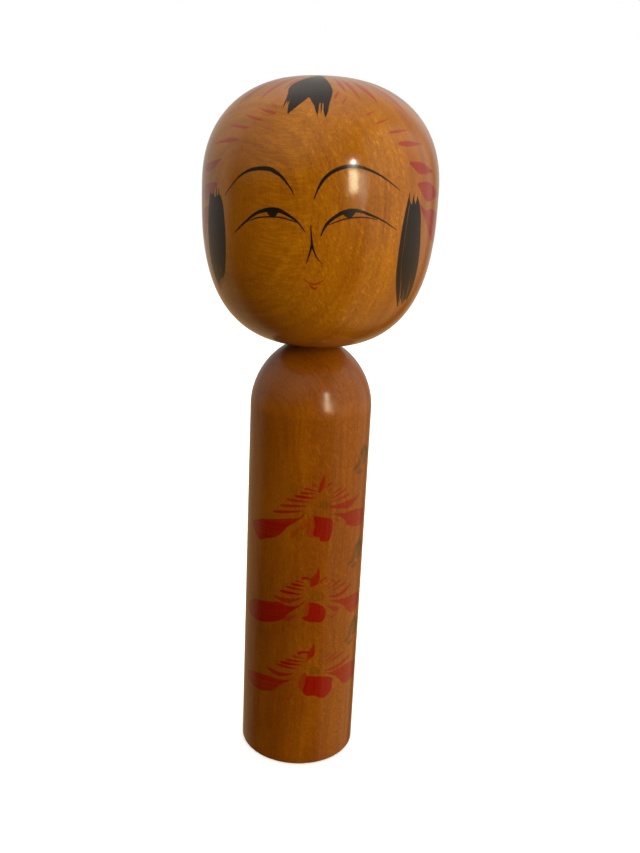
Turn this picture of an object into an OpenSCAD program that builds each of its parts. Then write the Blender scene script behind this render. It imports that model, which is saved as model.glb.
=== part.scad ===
// Kokeshi doll: a large turned head on a slim turned body.
// The head sits on the body's rounded shoulder and turns on a wooden peg
// that is fixed in the head and runs in a blind socket down the body.
// Origin: centre of the flat base. +Z runs up the turning axis, the face looks along -Y.

/* [Overall] */
// Height of the doll, base to crown
doll_h = 240; // [232:0.5:250]

/* [Body] */
// Diameter of the body at the start of the shoulder
body_w = 42; // [38:0.1:46]
// Diameter of the body at the base
base_w = 41.7; // [36:0.1:46]
// Height at which the rounded shoulder begins
shoulder_start_h = 132; // [110:1:138]
// Height of the shoulder's full curve, from its start to its would-be top
shoulder_h = 23.6; // [18:0.1:27]
// Fullness of the shoulder: 2 is an ellipse, more is squarer
shoulder_fullness = 1.9; // [1.7:0.01:2.6]
// Width of the flat seat on the shoulder that the head rests on
seat_w = 14; // [13:0.1:18]
// Rounding of the edge around the base
base_edge_r = 0.8; // [0.3:0.1:2]

/* [Head] */
// Diameter of the head at its widest
head_w = 76.9; // [70:0.1:84]
// Height of the widest point above the flat underside
head_widest_h = 50.6; // [44:0.1:56]
// Fullness of the lower cheeks and jaw
jaw_fullness = 2.74; // [2:0.01:3]
// Fullness of the crown
crown_fullness = 2.33; // [2:0.01:3]

/* [Neck peg] */
// Diameter of the peg
peg_w = 10; // [8:0.1:11]
// Length of the peg that is fixed in the head
peg_in_head = 16; // [10:1:24]
// Length of the peg below the head's underside
peg_in_body = 24; // [14:1:34]
// Bevel on both ends of the peg
peg_bevel = 0.8; // [0.4:0.1:1.5]

/* [Fits] */
// Gap all round the peg in the body's socket
running_gap = 0.05; // [0.03:0.01:0.09]
// Gap between the head's underside and the seat
seat_gap = 0.2; // [0.15:0.05:0.4]
// Depth of the socket beyond the end of the peg
socket_relief = 2; // [1:0.5:4]

/* [Hidden] */
$fn = 128;

CURVE_STEPS = 28;
SIDE_STEPS = 8;
EDGE_STEP_DEG = 15;
MOUTH_BEVEL = 0.4;
OVERCUT = 1;
WOOD = "#b8792b";
PEG_WOOD = "#d2a56b";

body_r = body_w / 2;
base_r = base_w / 2;
head_r = head_w / 2;
peg_r = peg_w / 2;
socket_r = peg_r + running_gap;
seat_r = seat_w / 2;

// Height of a full curve above its middle plane, at radius r of greatest_r.
function rise(r, greatest_r, full_h, fullness) =
    full_h * pow(1 - pow(r / greatest_r, fullness), 1 / fullness);

// The whole jaw curve is a little taller than the part of it that shows, because the
// underside is cut flat where it meets the seat.
jaw_curve_h = head_widest_h / rise(seat_r, head_r, 1, jaw_fullness);
seat_z = shoulder_start_h + rise(seat_r, body_r, shoulder_h, shoulder_fullness);
underside_z = seat_z + seat_gap;
widest_z = underside_z + head_widest_h;
crown_h = doll_h - widest_z;
socket_floor_z = underside_z - peg_in_body - socket_relief;

// Points along a quarter of a superellipse between two angles, from its middle plane (0)
// to its pole (90). A negative full_h puts the quarter below the middle plane.
function quarter(greatest_r, full_h, fullness, middle_z, from_angle, to_angle) = [
    for (i = [0 : CURVE_STEPS])
        let (
            angle = from_angle + (to_angle - from_angle) * i / CURVE_STEPS,
            out = max(cos(angle), 0),
            up = max(sin(angle), 0)
        )
        [
            greatest_r * pow(out, 2 / fullness),
            middle_z + full_h * pow(up, 2 / fullness)
        ]
];

// The angle at which a quarter has come in to radius r.
function angle_at(r, greatest_r, fullness) = acos(pow(r / greatest_r, fullness / 2));

// Radius of the body's side at height z: it draws in slowly towards the base.
function side_r(z) =
    body_r - (body_r - base_r) * pow(1 - z / shoulder_start_h, 2);

function base_edge() = [
    for (angle = [-90 : EDGE_STEP_DEG : 0])
        [
            side_r(base_edge_r) - base_edge_r + base_edge_r * cos(angle),
            base_edge_r + base_edge_r * sin(angle)
        ]
];

// The side between the base's rounded edge and the shoulder, without its two ends.
function body_side() = [
    for (i = [1 : SIDE_STEPS - 1])
        let (z = base_edge_r + (shoulder_start_h - base_edge_r) * i / SIDE_STEPS)
        [side_r(z), z]
];

module body() {
    shoulder = quarter(body_r, shoulder_h, shoulder_fullness, shoulder_start_h,
        0, angle_at(seat_r, body_r, shoulder_fullness));
    color(WOOD)
        difference() {
            rotate_extrude()
                polygon(concat([[0, 0]], base_edge(), body_side(), shoulder, [[0, seat_z]]));
            translate([0, 0, socket_floor_z])
                cylinder(r = socket_r, h = seat_z - socket_floor_z + OVERCUT);
            translate([0, 0, seat_z - MOUTH_BEVEL])
                cylinder(r1 = socket_r, r2 = socket_r + 2 * MOUTH_BEVEL, h = 2 * MOUTH_BEVEL);
        }
}

module head() {
    jaw = quarter(head_r, -jaw_curve_h, jaw_fullness, widest_z,
        angle_at(seat_r, head_r, jaw_fullness), 0);
    crown = quarter(head_r, crown_h, crown_fullness, widest_z, 0, 90);
    crown_above_widest = [for (i = [1 : CURVE_STEPS]) crown[i]];
    color(WOOD)
        difference() {
            rotate_extrude()
                polygon(concat([[0, underside_z]], jaw, crown_above_widest));
            translate([0, 0, underside_z - OVERCUT])
                cylinder(r = peg_r, h = peg_in_head + OVERCUT);
        }
}

module neck_peg() {
    low_z = underside_z - peg_in_body;
    high_z = underside_z + peg_in_head;
    color(PEG_WOOD)
        rotate_extrude()
            polygon([
                [0, low_z],
                [peg_r - peg_bevel, low_z],
                [peg_r, low_z + peg_bevel],
                [peg_r, high_z - peg_bevel],
                [peg_r - peg_bevel, high_z],
                [0, high_z]
            ]);
}

body();
head();
neck_peg();
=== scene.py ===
"""Kokeshi doll: a turned head and body in aged, waxed wood, painted with brush strokes.

The wood is two lathe-turned meshes that stand for the CAD head and body. The painting is
a set of thin closed layers, shaped like the brush strokes, that lie on the turned surface.
Lengths in the tables below are millimetres; Blender objects are in metres.
"""

import math

import bpy
import numpy as np
from mathutils import Matrix, Vector


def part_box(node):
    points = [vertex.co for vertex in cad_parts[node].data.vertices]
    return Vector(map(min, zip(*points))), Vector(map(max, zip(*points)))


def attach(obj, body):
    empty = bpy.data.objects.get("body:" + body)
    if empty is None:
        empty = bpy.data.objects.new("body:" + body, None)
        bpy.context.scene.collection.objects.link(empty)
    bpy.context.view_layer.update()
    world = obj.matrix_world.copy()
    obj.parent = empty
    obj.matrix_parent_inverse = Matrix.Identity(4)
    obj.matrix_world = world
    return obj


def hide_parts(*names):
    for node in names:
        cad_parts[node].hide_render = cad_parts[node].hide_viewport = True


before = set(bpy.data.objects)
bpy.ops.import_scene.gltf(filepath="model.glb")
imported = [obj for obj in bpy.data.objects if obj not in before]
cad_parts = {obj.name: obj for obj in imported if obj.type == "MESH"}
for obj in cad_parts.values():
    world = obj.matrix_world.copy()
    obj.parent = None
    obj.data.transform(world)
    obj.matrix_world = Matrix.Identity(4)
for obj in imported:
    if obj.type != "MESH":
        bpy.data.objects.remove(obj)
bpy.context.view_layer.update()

MM = 0.001
scene = bpy.context.scene


def add_object(name, data):
    """A new object in the scene for a mesh, light or camera."""
    thing = bpy.data.objects.new(name, data)
    scene.collection.objects.link(thing)
    return thing


# ---- camera

CAMERA_DISTANCE = 0.334
CAMERA_HEIGHT = 0.2279
CAMERA_AZIMUTH = math.radians(4.0)
CAMERA_PITCH = math.radians(17.3)
CAMERA_YAW = math.radians(0.6)
CAMERA_ROLL = math.radians(-2.69)
CAMERA_LENS = 42.1


def make_camera():
    """A camera in front of the face that looks down and leans a little."""
    data = bpy.data.cameras.new("camera")
    data.lens = CAMERA_LENS
    data.clip_start = 0.01
    camera = add_object("camera", data)
    place = Matrix.Rotation(CAMERA_AZIMUTH, 4, "Z") @ Vector((0.0, -CAMERA_DISTANCE, CAMERA_HEIGHT))
    turn = Matrix.Rotation(CAMERA_AZIMUTH - CAMERA_YAW, 4, "Z")
    look_down = Matrix.Rotation(math.pi / 2 - CAMERA_PITCH, 4, "X")
    lean = Matrix.Rotation(-CAMERA_ROLL, 4, "Z")
    camera.matrix_world = Matrix.Translation(place) @ turn @ look_down @ lean
    scene.camera = camera


make_camera()

# ---- the turned shapes

# The CAD model's turned outlines.
BASE_EDGE_R = 0.8
BASE_DRAW_IN = 0.15
SHOULDER_H = 23.6
SHOULDER_FULLNESS = 1.9
SEAT_R = 7.0
HEAD_WIDEST_H = 50.6
JAW_FULLNESS = 2.74
CROWN_FULLNESS = 2.33
PEG_R = 5.0
SOCKET_R = 5.05
SOCKET_RELIEF = 2.0
MOUTH_BEVEL = 0.4

# How finely the outlines and the turning are stepped.
HEAD_STEPS = 120
SHOULDER_STEPS = 90
SIDE_STEPS = 60
EDGE_STEPS = 8
AROUND = 288
ON_AXIS = 1e-6

body_high = [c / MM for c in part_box("body")[1]]
head_low, head_high = [[c / MM for c in corner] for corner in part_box("head")]
peg_low, peg_high = [[c / MM for c in corner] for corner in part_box("neck_peg")]

body_r = body_high[0]
head_r = head_high[0]
seat_z = body_high[2]
underside_z = head_low[2]
crown_z = head_high[2]
widest_z = underside_z + HEAD_WIDEST_H


def rise(r, greatest_r, fullness):
    """Height at radius r on a superellipse curve, as a part of its full height."""
    return (1 - (r / greatest_r) ** fullness) ** (1 / fullness)


shoulder_z = seat_z - SHOULDER_H * rise(SEAT_R, body_r, SHOULDER_FULLNESS)
jaw_curve_h = HEAD_WIDEST_H / rise(SEAT_R, head_r, JAW_FULLNESS)


def quarter(greatest_r, full_h, fullness, middle_z, angles):
    """Points on a quarter superellipse; angle 0 is its widest, a right angle its pole."""
    out = np.maximum(np.cos(angles), 0.0) ** (2 / fullness)
    up = np.maximum(np.sin(angles), 0.0) ** (2 / fullness)
    return np.column_stack([greatest_r * out, middle_z + full_h * up])


def angle_at(r, greatest_r, fullness):
    """The angle at which a quarter superellipse has come in to radius r."""
    return math.acos((r / greatest_r) ** (fullness / 2))


def head_outline():
    """(radius, height) down the head from the crown to the rim of its underside."""
    down = np.linspace(math.pi / 2, 0, HEAD_STEPS)
    crown = quarter(head_r, crown_z - widest_z, CROWN_FULLNESS, widest_z, down)
    down = np.linspace(0, angle_at(SEAT_R, head_r, JAW_FULLNESS), HEAD_STEPS)
    jaw = quarter(head_r, -jaw_curve_h, JAW_FULLNESS, widest_z, down)
    return np.vstack([crown, jaw[1:]])


def body_outline():
    """(radius, height) down the body from the seat to the flat base."""
    down = np.linspace(angle_at(SEAT_R, body_r, SHOULDER_FULLNESS), 0, SHOULDER_STEPS)
    shoulder = quarter(body_r, SHOULDER_H, SHOULDER_FULLNESS, shoulder_z, down)
    heights = np.linspace(shoulder_z, BASE_EDGE_R, SIDE_STEPS)[1:]
    side = np.column_stack([body_r - BASE_DRAW_IN * (1 - heights / shoulder_z) ** 2, heights])
    turn = np.linspace(0, math.pi / 2, EDGE_STEPS)[1:]
    edge = np.column_stack([
        side[-1, 0] - BASE_EDGE_R + BASE_EDGE_R * np.cos(turn),
        BASE_EDGE_R - BASE_EDGE_R * np.sin(turn),
    ])
    return np.vstack([shoulder, side, edge])


HEAD_OUTLINE = head_outline()
BODY_OUTLINE = body_outline()


def lathe(name, outline, sharp_after):
    """A closed turned mesh, with hard edges at the outline's points in sharp_after."""
    verts = []
    rings = []
    for r, z in outline:
        count = 1 if r < ON_AXIS else AROUND
        rings.append(range(len(verts), len(verts) + count))
        for k in range(count):
            a = 2 * math.pi * k / AROUND
            verts.append((r * math.sin(a) * MM, -r * math.cos(a) * MM, z * MM))
    faces = []
    for upper, lower in zip(rings, rings[1:]):
        for k in range(AROUND):
            n = (k + 1) % AROUND
            corners = [ring[i % len(ring)] for ring, i in ((upper, k), (lower, k), (lower, n), (upper, n))]
            face = list(dict.fromkeys(corners))
            if len(face) > 2:
                faces.append(face)
    mesh = bpy.data.meshes.new(name)
    mesh.from_pydata(verts, [], faces)
    mesh.validate()
    mesh.shade_smooth()
    sharp_rings = [set(rings[i]) for i in sharp_after]
    for edge in mesh.edges:
        if any(ring.issuperset(edge.vertices) for ring in sharp_rings):
            edge.use_edge_sharp = True
    return add_object(name, mesh)


def make_head():
    """The head with the blind hole that holds the peg."""
    bore = [(PEG_R, underside_z), (PEG_R, peg_high[2]), (0.0, peg_high[2])]
    rim = len(HEAD_OUTLINE) - 1
    return lathe("head_wood", np.vstack([HEAD_OUTLINE, bore]), (rim, rim + 1, rim + 2))


def make_body():
    """The body with the blind socket that the peg turns in."""
    floor_z = peg_low[2] - SOCKET_RELIEF
    mouth = [
        (0.0, floor_z),
        (SOCKET_R, floor_z),
        (SOCKET_R, seat_z - MOUTH_BEVEL),
        (SOCKET_R + MOUTH_BEVEL, seat_z),
    ]
    outline = np.vstack([mouth, BODY_OUTLINE, [(0.0, 0.0)]])
    base_ring = len(mouth) + len(BODY_OUTLINE) - 1
    return lathe("body_wood", outline, (1, 2, 3, 4, base_ring))


# ---- surface charts

class Chart:
    """Maps a flat plane in millimetres to a place and outward normal on a turned outline.

    A painted point is (angle, level). The angle is degrees round from the face towards +X.
    The level is the distance down the surface from the crown on the head, and the height
    above the base on the body.
    """

    def __init__(self, outline, levels, polar, mm_per_degree):
        order = np.argsort(levels)
        self.levels = levels[order]
        self.outline = outline[order]
        slope = np.gradient(outline, axis=0)
        length = np.hypot(slope[:, 0], slope[:, 1])
        normal = np.column_stack([-slope[:, 1], slope[:, 0]]) / length[:, None]
        self.normal = normal[order]
        self.polar = polar
        self.scale = mm_per_degree

    def plane(self, points):
        """(angle, level) to plane coordinates."""
        angle, level = np.asarray(points, float).T
        if self.polar:
            a = np.radians(angle)
            return np.column_stack([level * np.sin(a), level * np.cos(a)])
        return np.column_stack([angle * self.scale, level])

    def surface(self, x, y):
        """Plane coordinates to positions in metres and normals."""
        if self.polar:
            level = np.hypot(x, y)
            a = np.arctan2(x, y)
        else:
            level = y
            a = np.radians(x / self.scale)
        r, z = (np.interp(level, self.levels, column) for column in self.outline.T)
        nr, nz = (np.interp(level, self.levels, column) for column in self.normal.T)
        places = np.column_stack([r * np.sin(a), -r * np.cos(a), z]) * MM
        normals = np.column_stack([nr * np.sin(a), -nr * np.cos(a), nz])
        return places, normals


HEAD_LEVELS = np.concatenate([[0.0], np.cumsum(np.hypot(*np.diff(HEAD_OUTLINE, axis=0).T))])
CROWN = Chart(HEAD_OUTLINE, HEAD_LEVELS, True, 1.0)
FACE = Chart(HEAD_OUTLINE, HEAD_LEVELS, False, head_r * math.pi / 180)
FRONT = Chart(BODY_OUTLINE, BODY_OUTLINE[:, 1], False, body_r * math.pi / 180)

# ---- brush work

FAR = 1e9
# Bristles: how many differ, their width in mm in a line and in a fill, and how they sway.
BRISTLES = 512
LINE_BRISTLE = 0.28
FILL_BRISTLE = 0.45
SWAY = 0.35
# Cells left free round the whole grid, and worked out round each mark.
GRID_MARGIN = 3
MARK_MARGIN = 2


def span_curve(p0, p1, p2, p3, steps):
    """The Catmull-Rom curve from p1 up to p2, without p2 itself."""
    t = np.linspace(0, 1, steps, endpoint=False)[:, None]
    return 0.5 * (2 * p1 + (p2 - p0) * t + (2 * p0 - 5 * p1 + 4 * p2 - p3) * t ** 2
                  + (3 * p1 - p0 - 3 * p2 + p3) * t ** 3)


def smooth_path(points, per_span=8):
    """A smooth curve through rows of numbers."""
    rows = np.asarray(points, float)
    padded = np.vstack([2 * rows[0] - rows[1], rows, 2 * rows[-1] - rows[-2]])
    spans = [span_curve(*padded[i:i + 4], per_span) for i in range(len(rows) - 1)]
    return np.vstack(spans + [rows[-1:]])


def smooth_ring(points, per_span=6):
    """A smooth closed curve through rows of numbers."""
    rows = np.asarray(points, float)
    return np.vstack([span_curve(*np.roll(rows, 1 - i, axis=0)[:4], per_span) for i in range(len(rows))])


def ease(value):
    """A soft step from 0 to 1."""
    return value * value * (3 - 2 * value)


def streaks(across, along, seed, width, amount):
    """Bristle marks: soft random lines that run along the stroke, from 1 down to 1 - amount."""
    if not amount:
        return np.ones_like(across)
    table = np.random.default_rng(seed).random(BRISTLES)
    cell = across / width + SWAY * np.sin(along * SWAY + seed)
    low = np.floor(cell).astype(int)
    part = ease(cell - low)
    value = table[low % BRISTLES] * (1 - part) + table[(low + 1) % BRISTLES] * part
    return 1 - amount * value


class Layer:
    """One painted piece: brush marks added up on a fine grid over a chart.

    Each mark has a load (how much dye; less than 0 wipes some off), soft (the width of its
    rim in mm), dry (how strongly the bristles show) and a seed for the bristles.
    """

    def __init__(self, chart, cell):
        self.chart = chart
        self.cell = cell
        self.marks = []

    def line(self, points, load=1.0, soft=0.22, dry=0.0, seed=1):
        """A stroke along (angle, level, width) rows."""
        rows = np.asarray(points, float)
        path = smooth_path(np.column_stack([self.chart.plane(rows[:, :2]), rows[:, 2]]))
        self.marks.append((line_cover, path, path[:, 2].max() / 2, load, (soft, dry, seed)))

    def fill(self, points, load=1.0, soft=0.4, dry=0.3, seed=1, lay=0.0, rounded=True):
        """A filled shape inside (angle, level) rows; lay is the brush's direction in degrees."""
        ring = self.chart.plane(points)
        ring = smooth_ring(ring) if rounded else ring
        self.marks.append((fill_cover, ring, 0.0, load, (soft, dry, seed, math.radians(lay))))

    def leaf(self, start, end, width, load=1.0, bend=0.0, tip=0.1, soft=0.3, dry=0.25, seed=1):
        """A tapered dab from start to end, widest past its middle.

        The bend is sideways in mm. The tip is the width at the end, as a part of the width.
        """
        ends = self.chart.plane([start, end])
        along = ends[1] - ends[0]
        side = np.array([along[1], -along[0]]) / np.hypot(*along)
        widths = ((0, 0.12), (0.25, 0.55), (0.5, 0.88), (0.72, 1), (0.9, 0.68 + 0.3 * tip), (1, tip))
        path = smooth_path([
            [*(ends[0] + along * t + side * bend * 4 * t * (1 - t)), w * width] for t, w in widths
        ])
        self.marks.append((line_cover, path, path[:, 2].max() / 2, load, (soft, dry, seed)))

    def dabs(self, rows, tip, seed):
        """A fan of short dabs, each (inner end, outer end, greatest width, load)."""
        for k, (start, end, width, load) in enumerate(rows):
            self.leaf(start, end, width, 1.15 * load, tip=tip, dry=0.2, seed=seed + k)

    def bristles(self, rows, load=1.0):
        """Loose bristle marks, each a tapered line: (thick root, fine tip, width)."""
        for root, tip, width in rows:
            middle = ((root[0] + tip[0]) / 2, (root[1] + tip[1]) / 2)
            self.line([(*root, width), (*middle, width * 0.75), (*tip, width * 0.12)], load, 0.25)

    def ray(self, start, middle, end, width, seed):
        """A ray: faint and thin at the crown, widest past its middle, drawn out to a point."""
        rows = [(*start, 0.3 * width), (*middle, width), (*end, 0.08 * width)]
        self.line(rows, load=0.8, soft=0.5, dry=0.45, seed=seed)

    def grid(self):
        """The columns and rows of a grid that holds every mark."""
        margin = max(mark[2] for mark in self.marks) + GRID_MARGIN * self.cell
        low = np.min([path[:, :2].min(0) for _, path, *_ in self.marks], axis=0) - margin
        high = np.max([path[:, :2].max(0) for _, path, *_ in self.marks], axis=0) + margin
        counts = np.ceil((high - low) / self.cell).astype(int) + 1
        return [low[i] + self.cell * np.arange(counts[i]) for i in (0, 1)]

    def loads(self, xs, ys):
        """The amount of dye at each grid point."""
        total = np.zeros((len(ys), len(xs)))
        for cover, path, half_width, load, how in self.marks:
            margin = half_width + MARK_MARGIN * self.cell
            i0, i1 = np.searchsorted(xs, [path[:, 0].min() - margin, path[:, 0].max() + margin])
            j0, j1 = np.searchsorted(ys, [path[:, 1].min() - margin, path[:, 1].max() + margin])
            gx, gy = np.meshgrid(xs[i0:i1], ys[j0:j1])
            total[j0:j1, i0:i1] += load * cover(path, gx, gy, *how)
        return total


def line_cover(path, gx, gy, soft, dry, seed):
    """How much of a brush line covers each point, from 0 to 1."""
    best = np.full(gx.shape, FAR)
    across = np.zeros(gx.shape)
    along = np.zeros(gx.shape)
    run = 0.0
    for (ax, ay, aw), (bx, by, bw) in zip(path[:-1], path[1:]):
        ex, ey = bx - ax, by - ay
        span = math.hypot(ex, ey)
        t = np.clip(((gx - ax) * ex + (gy - ay) * ey) / span ** 2, 0, 1)
        dx, dy = gx - ax - t * ex, gy - ay - t * ey
        gap = np.hypot(dx, dy) - (aw + (bw - aw) * t) / 2
        near = gap < best
        best = np.where(near, gap, best)
        across = np.where(near, (dx * ey - dy * ex) / span, across)
        along = np.where(near, run + t * span, along)
        run += span
    return ease(np.clip(0.5 - best / soft, 0, 1)) * streaks(across, along, seed, LINE_BRISTLE, dry)


def fill_cover(ring, gx, gy, soft, dry, seed, lay):
    """How much of a filled shape covers each point, from 0 to 1."""
    best = np.full(gx.shape, FAR)
    inside = np.zeros(gx.shape, bool)
    for (ax, ay), (bx, by) in zip(ring, np.roll(ring, -1, axis=0)):
        ex, ey = bx - ax, by - ay
        t = np.clip(((gx - ax) * ex + (gy - ay) * ey) / (ex * ex + ey * ey), 0, 1)
        best = np.minimum(best, np.hypot(gx - ax - t * ex, gy - ay - t * ey))
        if ey:
            inside ^= ((ay > gy) != (by > gy)) & (gx < ex * (gy - ay) / ey + ax)
    gap = np.where(inside, -best, best)
    across = gy * math.cos(lay) - gx * math.sin(lay)
    along = gx * math.cos(lay) + gy * math.sin(lay)
    return ease(np.clip(0.5 - gap / soft, 0, 1)) * streaks(across, along, seed, FILL_BRISTLE, dry)


# The least load that still makes a film, and the film's heights off the wood in mm.
PAINT_EDGE = 0.03
PAINT_ABOVE = 0.03
PAINT_RIM = -0.005
PAINT_BELOW = -0.03
# How near to a grid point the film's edge may come, as a part of the cell's side.
NEAREST_CUT = 0.02


def contour_faces(load, edge):
    """Marching squares: the region where load is over edge.

    Returns its corners' columns and rows on the grid, with a fraction where the edge
    crosses a cell's side, their loads, whether each is on the rim, and the faces.
    """
    numbers = {}
    corners = []

    def corner(key, x, y, amount, rim):
        if key not in numbers:
            numbers[key] = len(corners)
            corners.append((x, y, amount, rim))
        return numbers[key]

    faces = []
    over = load > edge
    cells = over[:-1, :-1] | over[1:, :-1] | over[:-1, 1:] | over[1:, 1:]
    for j, i in zip(*(n.tolist() for n in np.nonzero(cells))):
        square = [(i, j), (i + 1, j), (i + 1, j + 1), (i, j + 1)]
        face = []
        for k in range(4):
            (xa, ya), (xb, yb) = ends = square[k], square[(k + 1) % 4]
            a, b = load[ya, xa], load[yb, xb]
            if a > edge:
                face.append(corner((xa, ya), xa, ya, a, False))
            if (a > edge) != (b > edge):
                t = min(max((edge - a) / (b - a), NEAREST_CUT), 1 - NEAREST_CUT)
                key = (min(ends), max(ends))
                face.append(corner(key, xa + (xb - xa) * t, ya + (yb - ya) * t, edge, True))
        faces.append(face)
    x, y, amounts, on_rim = np.array(corners, float).T
    return x, y, amounts, on_rim > 0, faces


def paint(name, layer, kind):
    """Turns a layer into a thin closed film on the wood, feathered to nothing at its rim."""
    material, body, slot = kind
    xs, ys = layer.grid()
    load = layer.loads(xs, ys)
    load[0, :] = load[-1, :] = load[:, 0] = load[:, -1] = 0
    x, y, amounts, on_rim, faces = contour_faces(load, PAINT_EDGE)
    places, normals = layer.chart.surface(xs[0] + x * layer.cell, ys[0] + y * layer.cell)
    lift = np.where(on_rim, PAINT_RIM, PAINT_ABOVE)[:, None] * MM
    top = places + normals * lift
    inner = np.nonzero(~on_rim)[0]
    bottom = places[inner] + normals[inner] * PAINT_BELOW * MM
    under = np.arange(len(places))
    under[inner] = len(places) + np.arange(len(inner))

    first = [Vector(places[v]) for v in faces[0][:3]]
    outward = (first[1] - first[0]).cross(first[2] - first[0]).dot(Vector(normals[faces[0][0]])) > 0
    upper = faces if outward else [face[::-1] for face in faces]
    lower = [under[face[::-1]].tolist() for face in upper]

    mesh = bpy.data.meshes.new(name)
    mesh.from_pydata(np.vstack([top, bottom]).tolist(), [], upper + lower)
    mesh.shade_smooth()
    values = mesh.attributes.new("load", "FLOAT", "POINT")
    values.data.foreach_set("value", np.concatenate([amounts, amounts[inner]]).astype(np.float32))
    mesh.normals_split_custom_set_from_vertices(np.vstack([normals, normals[inner]]).tolist())
    mesh.materials.append(material)
    piece = add_object(name, mesh)
    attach(piece, body)


# ---- materials

class Nodes:
    """Adds and wires the nodes of a material or world."""

    def __init__(self, tree):
        self.tree = tree

    def feed(self, node, values):
        """Sets a node's inputs by number or name: another node's socket is linked to it."""
        for key, value in values.items() if isinstance(values, dict) else enumerate(values):
            if isinstance(value, bpy.types.NodeSocket):
                self.tree.links.new(value, node.inputs[key])
            else:
                node.inputs[key].default_value = value

    def add(self, kind, values=(), output=0, **settings):
        """A new node's output."""
        node = self.tree.nodes.new("ShaderNode" + kind)
        for key, value in settings.items():
            setattr(node, key, value)
        self.feed(node, values)
        return node.outputs[output]

    def math(self, operation, *values):
        return self.add("Math", values, operation=operation)

    def product(self, *values):
        out = values[0]
        for value in values[1:]:
            out = self.math("MULTIPLY", out, value)
        return out

    def stretch(self, vector, scale, offset=(0, 0, 0)):
        return self.add("Mapping", {"Vector": vector, "Scale": scale, "Location": offset})

    def noise(self, vector, scale, detail=2, roughness=0.5, distortion=0):
        values = {"Vector": vector, "Scale": scale, "Detail": detail, "Roughness": roughness}
        return self.add("TexNoise", {**values, "Distortion": distortion}, "Fac")

    def remap(self, value, from_low, from_high, to_low=0, to_high=1, kind="SMOOTHSTEP"):
        values = (value, from_low, from_high, to_low, to_high)
        return self.add("MapRange", values, interpolation_type=kind)

    def mix(self, kind, factor, a, b):
        return self.add("Mix", {0: factor, 6: a, 7: b}, 2, data_type="RGBA", blend_type=kind)

    def measure(self, operation, *vectors):
        """A number worked out from vectors, such as a distance or a dot product."""
        return self.add("VectorMath", vectors, "Value", operation=operation)


# Middle, light and dark tones of each turned piece's wood.
HEAD_TONES = ((0.35, 0.11, 0.001, 1), (0.445, 0.166, 0.002, 1), (0.235, 0.062, 0.001, 1))
BODY_TONES = ((0.236, 0.061, 0.001, 1), (0.3, 0.091, 0.001, 1), (0.172, 0.038, 0.001, 1))
# Where the middle of the tree was, in metres: the growth rings run round it.
PITH = (0.062, 0.085, 0)
# The worn band round the body, in metres.
WORN_LOW = 0.133
WORN_HIGH = 0.1362


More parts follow.
